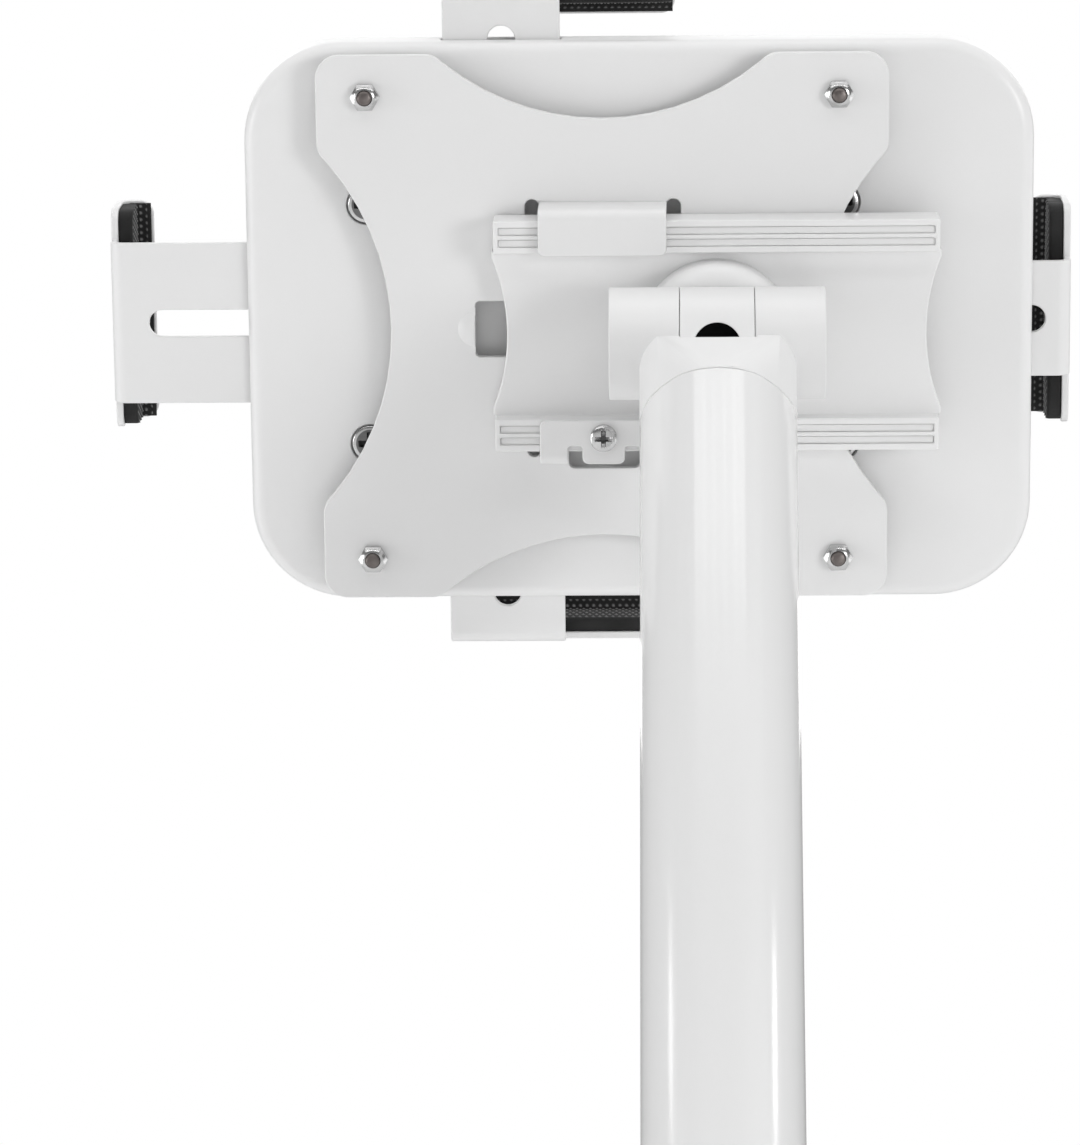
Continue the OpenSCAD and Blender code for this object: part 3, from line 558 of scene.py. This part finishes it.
def cover_screws():
    """Four wider pan heads, sunk in the round recesses of the rear cover.

    Their heads are blackened and bright only on the worn rim; recess and skirt get painted shade.
    """
    low, high = head_box("cover_screws")
    solid_r, head_r, head_t = 3.4 * MM, 3.8 * MM, 1.8 * MM
    shank = high[1] - low[1] - head_t
    radii, heights, shares = cross_head(
        head_r, head_t, side_t=1.2 * MM, shank=shank,
        reach=2.6 * MM, width=1.3 * MM, depth=1.3 * MM)
    face = np.clip((WORN_RIM * head_r - radii) / GROOVE_FLANK + 0.5, 0, 1)
    # Painted shade in the recess and on the low skirt, and the black of the blackened face
    shares = np.maximum(np.maximum(shares, FACE_DARK * face), heights < SKIRT_SHADE_HEIGHT)
    places = four_middles("cover_screws", solid_r, solid_r)
    grids = [turned(radii, heights, (x, low[1] + head_t, z)) for x, z in places]
    mesh = grid_mesh("sunk_screws", grids, sharp=40.0, values=[shares] * 4)
    finished("sunk_screws", mesh, finishes["bright_screw"], "cover_screws", "cover_screws")


hex_nuts()
threaded_studs()
lock_screw()
cover_screws()


# Foam liners of the arms

FOAM_WALL = 3.0 * MM
FOAM_LIP = 1.0 * MM
FOAM_CORNER = 1.7 * MM
FOAM_BENDS = np.array([0.5, 0.1, 0.1, 0.3, 0.3, 0.6, 0.8]) * MM
FOAM_END = 3.0 * MM
FOAM_CROWN = 0.25 * MM
DOT_PITCH = 1.45 * MM
DOT_R = 0.42 * MM
DOT_RISE = 0.3 * MM
FOAM_STEP = 0.2 * MM
FACE_REACH = 0.02 * MM


def rounded_loop(corners, radii, step):
    """Closed outline through corners, with even steps on the straights.

    Each corner is a quadratic curve from one radius before it to one radius after it.
    """
    corners = np.asarray(corners)
    reach = np.asarray(radii)[:, None]
    ways = np.roll(corners, -1, 0) - corners
    ways = ways / np.linalg.norm(ways, axis=1, keepdims=True)
    start = corners - reach * np.roll(ways, 1, 0)
    end = corners + reach * ways
    share = np.linspace(0, 1, 6)[None, :, None]
    left = 1 - share
    bends = left**2 * start[:, None] + 2 * share * left * corners[:, None] + share**2 * end[:, None]
    runs = []
    for bend, tail, nose in zip(bends, end, np.roll(start, -1, 0)):
        count = max(2, int(np.linalg.norm(nose - tail) / step))
        straight = tail + np.linspace(0, 1, count + 1)[1:-1, None] * (nose - tail)
        runs += [bend, straight]
    return np.concatenate(runs)


def dots(across, run):
    """Paraboloids of height 1 on rows that lie a pitch apart, with every other row shifted."""
    row = np.round(across / DOT_PITCH - 0.5)
    off_across = across - (row + 0.5) * DOT_PITCH
    shifted = run / DOT_PITCH + 0.5 * (row % 2)
    off_run = (shifted - np.round(shifted)) * DOT_PITCH
    return np.clip(1 - (off_across**2 + off_run**2) / DOT_R**2, 0, 1)


def foam_liner(node, side, sign):
    """Foam glued into the corner between an arm's wall and its lip.

    Side is the number of the head axis across the wall, and sign the way out along that axis. An
    L-shaped section with round corners is carried along the wall. Its face on the wall is crowned
    by the product of two parabolas. Both inner faces carry dots, each a paraboloid on a staggered
    lattice. Near the two ends the rear edge follows a quarter circle.
    """
    low, high = head_box(node)
    along = 2 - side
    inner, outer = sorted((sign * low[side], sign * high[side]))
    back, front = low[1], high[1]
    face = outer - FOAM_WALL
    lip = front - FOAM_LIP
    section = rounded_loop(
        [(outer, back), (outer, front - FOAM_CORNER), (outer - FOAM_CORNER, front), (inner, front),
         (inner, lip), (face, lip), (face, back)],
        FOAM_BENDS, FOAM_STEP)
    run = np.linspace(low[along], high[along], int((high[along] - low[along]) / FOAM_STEP))[:, None]
    out, depth = section[:, 0] + 0 * run, section[:, 1] + 0 * run

    # The rear edge draws in at the ends, and what lies in front of it follows less and less
    from_end = np.minimum(run - low[along], high[along] - run)
    drawn = FOAM_END - np.sqrt(FOAM_END**2 - np.maximum(FOAM_END - from_end, 0) ** 2)
    depth = depth + drawn * np.clip((lip - depth) / (lip - back), 0, 1)

    # Crown and dots on the wall's face, and dots on the lip's face
    wall_face = np.clip(1 - np.abs(out - face) / FACE_REACH, 0, 1)
    lip_face = np.clip(1 - np.abs(depth - lip) / FACE_REACH, 0, 1) * (out > inner + 2 * DOT_R)
    p = (2 * depth - back - lip) / (lip - back)
    q = (2 * run - low[along] - high[along]) / (high[along] - low[along])
    crown = FOAM_CROWN * (1 - p**2) * (1 - q**2)
    wall_dot = dots(depth - back, run - low[along]) * wall_face
    lip_dot = dots(face - out, run - low[along]) * lip_face
    out = out - wall_face * crown - DOT_RISE * wall_dot
    depth = depth - DOT_RISE * lip_dot

    points = np.zeros(out.shape + (3,))
    points[..., side] = sign * out
    points[..., 1] = depth
    points[..., along] = run
    # The dot shapes become the mask that paints a highlight on the dot tops
    raised = np.maximum(wall_dot, lip_dot)
    mesh = grid_mesh(node + "_foam", [from_head(points)], sharp=50.0, values=[raised])
    piece = finished(node + "_foam", mesh, foam, node, node)


foam_liner("left_arm_pad", side=0, sign=-1)
foam_liner("right_arm_pad", side=0, sign=1)
foam_liner("top_arm_pad", side=2, sign=1)
foam_liner("bottom_arm_pad", side=2, sign=-1)

# Every solid has its finish, for the small inner hardware that shows as it is
for node in nodes:
    nodes[node].data.materials.clear()
    nodes[node].data.materials.append(finishes[slot_of[node]])

# Floor, light and camera

IMAGE = (1080, 1145)
SENSOR = 36.0
FOCAL_PIXELS = 5161.0
VIEW_AZIMUTH = math.radians(-1.72)
VIEW_ELEVATION = math.radians(21.59)
VIEW_ROLL = math.radians(0.39)
VIEW_DISTANCE = 1.058
VIEW_TARGET = Vector((-0.0366, 0.0205, 1.0281))
VIEW_NEAREST = 0.05
FLOOR_HALF = 4.0


def make_camera():
    """A camera that looks up at the head from behind, with a slight roll, for 1080 by 1145."""
    forward = Vector((
        math.sin(VIEW_AZIMUTH) * math.cos(VIEW_ELEVATION),
        math.cos(VIEW_AZIMUTH) * math.cos(VIEW_ELEVATION),
        math.sin(VIEW_ELEVATION),
    ))
    level = Vector((math.cos(VIEW_AZIMUTH), -math.sin(VIEW_AZIMUTH), 0.0))
    upright = level.cross(forward)
    right = math.cos(VIEW_ROLL) * level + math.sin(VIEW_ROLL) * upright
    top = right.cross(forward)
    data = bpy.data.cameras.new("camera")
    data.sensor_width = SENSOR
    data.lens = SENSOR * FOCAL_PIXELS / max(IMAGE)
    data.clip_start = VIEW_NEAREST
    camera = bpy.data.objects.new("camera", data)
    axes = Matrix((right, top, -forward)).transposed()
    camera.matrix_world = Matrix.Translation(VIEW_TARGET - VIEW_DISTANCE * forward) @ axes.to_4x4()
    bpy.context.scene.collection.objects.link(camera)
    bpy.context.scene.camera = camera


def softbox(name, aim, azimuth, elevation, distance, size, radiance):
    """A soft light of a width and height that faces the aim.

    Azimuth 0 is behind the camera, and 90 is to the right.
    """
    width, height = size
    turn, lift = math.radians(azimuth), math.radians(elevation)
    level = math.cos(lift)
    away = Vector((math.sin(turn) * level, -math.cos(turn) * level, math.sin(lift)))
    data = bpy.data.lights.new(name, "AREA")
    data.shape = "RECTANGLE"
    data.size = width
    data.size_y = height
    data.energy = radiance * math.pi * width * height
    light = bpy.data.objects.new(name, data)
    light.location = aim + distance * away
    light.rotation_mode = "QUATERNION"
    light.rotation_quaternion = (-away).to_track_quat("-Z", "Y")
    bpy.context.scene.collection.objects.link(light)


def make_world(light, backdrop):
    """White surroundings: one strength lights the stand and another is what the camera sees."""
    world = bpy.data.worlds.new("studio")
    world.use_nodes = True
    bpy.context.scene.world = world
    tree = world.node_tree
    seen = Wire(tree).add("ShaderNodeLightPath", {}, {}, "Is Camera Ray")
    background = tree.nodes["Background"]
    background.inputs["Color"].default_value = grey(1.0)
    tree.links.new((seen * (backdrop - light) + light).socket, background.inputs["Strength"])


def make_floor():
    """A plain pale floor under the stand, with a faint mottle."""
    signs = ((-1, -1), (1, -1), (1, 1), (-1, 1))
    mesh = bpy.data.meshes.new("floor")
    mesh.from_pydata([(x * FLOOR_HALF, y * FLOOR_HALF, 0) for x, y in signs], [], [(0, 1, 2, 3)])
    material, shader, place = new_finish("floor_paper")
    feed(shader, base_color=place.noise(3.0).between(grey(0.84), grey(0.88)), roughness=0.9)
    mesh.materials.append(material)
    floor = bpy.data.objects.new("floor", mesh)
    bpy.context.scene.collection.objects.link(floor)


head_middle = Vector(HINGE)
pole_top = Vector((0.0, 0.0, 0.96))
pole_lower = Vector((0.0, 0.0, 0.4))
make_camera()
make_floor()
make_world(light=0.22, backdrop=1.0)
softbox("overhead", pole_lower, 0.0, 90.0, distance=5.0, size=(12.0, 12.0), radiance=0.88)
softbox("key_right", head_middle, 46.0, -15.0, distance=1.4, size=(0.45, 0.45), radiance=8.0)
softbox("fill_left", head_middle, -72.0, -8.0, distance=1.5, size=(0.5, 0.5), radiance=4.6)
softbox("fill_top", head_middle, 0.0, 62.0, distance=1.8, size=(1.2, 0.8), radiance=1.2)
softbox("fill_side_left", pole_top, -98.0, -6.0, distance=1.8, size=(1.0, 1.2), radiance=1.7)
softbox("fill_side_right", pole_top, 103.0, -6.0, distance=1.8, size=(1.0, 1.2), radiance=1.05)
softbox("fill_screen_side", head_middle, 180.0, 30.0, distance=2.4, size=(1.4, 1.0), radiance=1.8)

# Strips side by side, which the pole's gloss shows as one band
STRIP_TURN = 22.0
STRIP_LIFT = 25.6
STRIP_DISTANCE = 2.0
STRIP_HEIGHT = 0.2
strip_size = (2 * STRIP_DISTANCE * math.tan(math.radians(STRIP_TURN / 2)), STRIP_HEIGHT)
for step in range(-2, 3):
    turn = step * STRIP_TURN
    softbox("strip_above", pole_top, turn, STRIP_LIFT, STRIP_DISTANCE, strip_size, radiance=3.1)
softbox("glint_left", pole_top, -116.3, 15.0, distance=1.5, size=(0.08, 0.08), radiance=6.5)
softbox("glint_right", pole_top, 116.1, 14.7, distance=1.5, size=(0.08, 0.08), radiance=10.0)
bpy.context.scene.view_settings.view_transform = "Standard"
